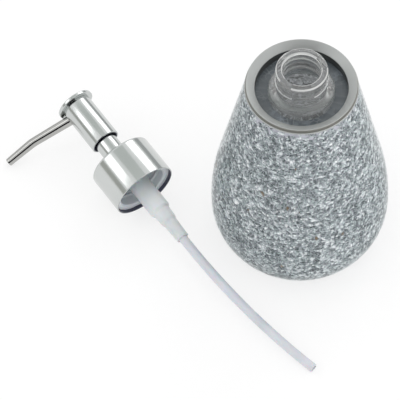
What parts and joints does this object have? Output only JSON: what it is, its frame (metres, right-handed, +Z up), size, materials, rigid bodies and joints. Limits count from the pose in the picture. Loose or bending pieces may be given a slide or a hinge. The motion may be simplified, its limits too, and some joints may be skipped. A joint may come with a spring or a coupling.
{
  "type": "soap pump dispenser",
  "caption": "Round mosaic glass soap bottle with a recessed threaded neck, and its press pump with collar, spout and dip tube lifted out and laid beside it.",
  "frame": {"origin": "centre of the bottle's foot, on the table", "axes": "+Z up along the bottle's axis; the pump lies on the table on the -X side"},
  "size_m": [0.2124, 0.1716, 0.1432],
  "materials": {
    "mosaic_glass": "crackle glass chips in a pale bed",
    "clear_coat": "clear, glossy",
    "bottle_glass": "clear, glossy",
    "satin_metal": "satin",
    "chrome": "polished",
    "insert_plastic": "moulded, semi-gloss",
    "natural_plastic": "translucent, moulded",
    "tube_plastic": "translucent, extruded",
    "seal_rubber": "matt",
    "spring_steel": "drawn wire",
    "ball_glass": "polished"
  },
  "bodies": {
    "bottle": {"glass_bottle": "bottle_glass", "mosaic_layer": "mosaic_glass", "clear_coat": "clear_coat", "rim_ring": "satin_metal"},
    "pump_body": {"housing": "natural_plastic", "gasket": "seal_rubber", "chaplet": "natural_plastic", "chimney": "chrome", "spring": "spring_steel", "ball_cage": "natural_plastic", "dip_tube": "tube_plastic"},
    "collar": {"collar_shell": "chrome", "collar_cap": "insert_plastic"},
    "piston": {"piston": "natural_plastic"},
    "plunger": {"stem": "natural_plastic", "piston_seat": "natural_plastic", "actuator_core": "natural_plastic", "head_shell": "chrome", "head_cap": "chrome", "nozzle": "chrome"},
    "inlet_ball": {"inlet_ball": "ball_glass"},
    "outlet_ball": {"outlet_ball": "ball_glass"}
  },
  "joints": [
    {"name": "pump_lift", "type": "slide", "parent": "bottle", "child": "pump_body", "axis": [0, 0, 1], "range_m": [0, 0.12]},
    {"name": "collar_turn", "type": "hinge", "parent": "pump_body", "child": "collar", "pos_m": [-0.0852, 0.011, 0.01848], "axis": [-0.5599, 0.8207, 0.114], "continuous": true},
    {"name": "press", "type": "slide", "parent": "pump_body", "child": "piston", "axis": [0.5599, -0.8207, -0.114], "range_m": [0, 0.012], "stiffness_N_per_m": 600, "springref_m": -0.006, "deforming": ["spring"]},
    {"name": "head_turn", "type": "hinge", "parent": "piston", "child": "plunger", "pos_m": [-0.0852, 0.011, 0.01848], "axis": [-0.5599, 0.8207, 0.114], "continuous": true},
    {"name": "inlet_ball_lift", "type": "slide", "parent": "pump_body", "child": "inlet_ball", "axis": [-0.5599, 0.8207, 0.114], "range_m": [0, 0.00251]},
    {"name": "outlet_ball_lift", "type": "slide", "parent": "plunger", "child": "outlet_ball", "axis": [-0.5599, 0.8207, 0.114], "range_m": [0, 0.00213]}
  ]
}
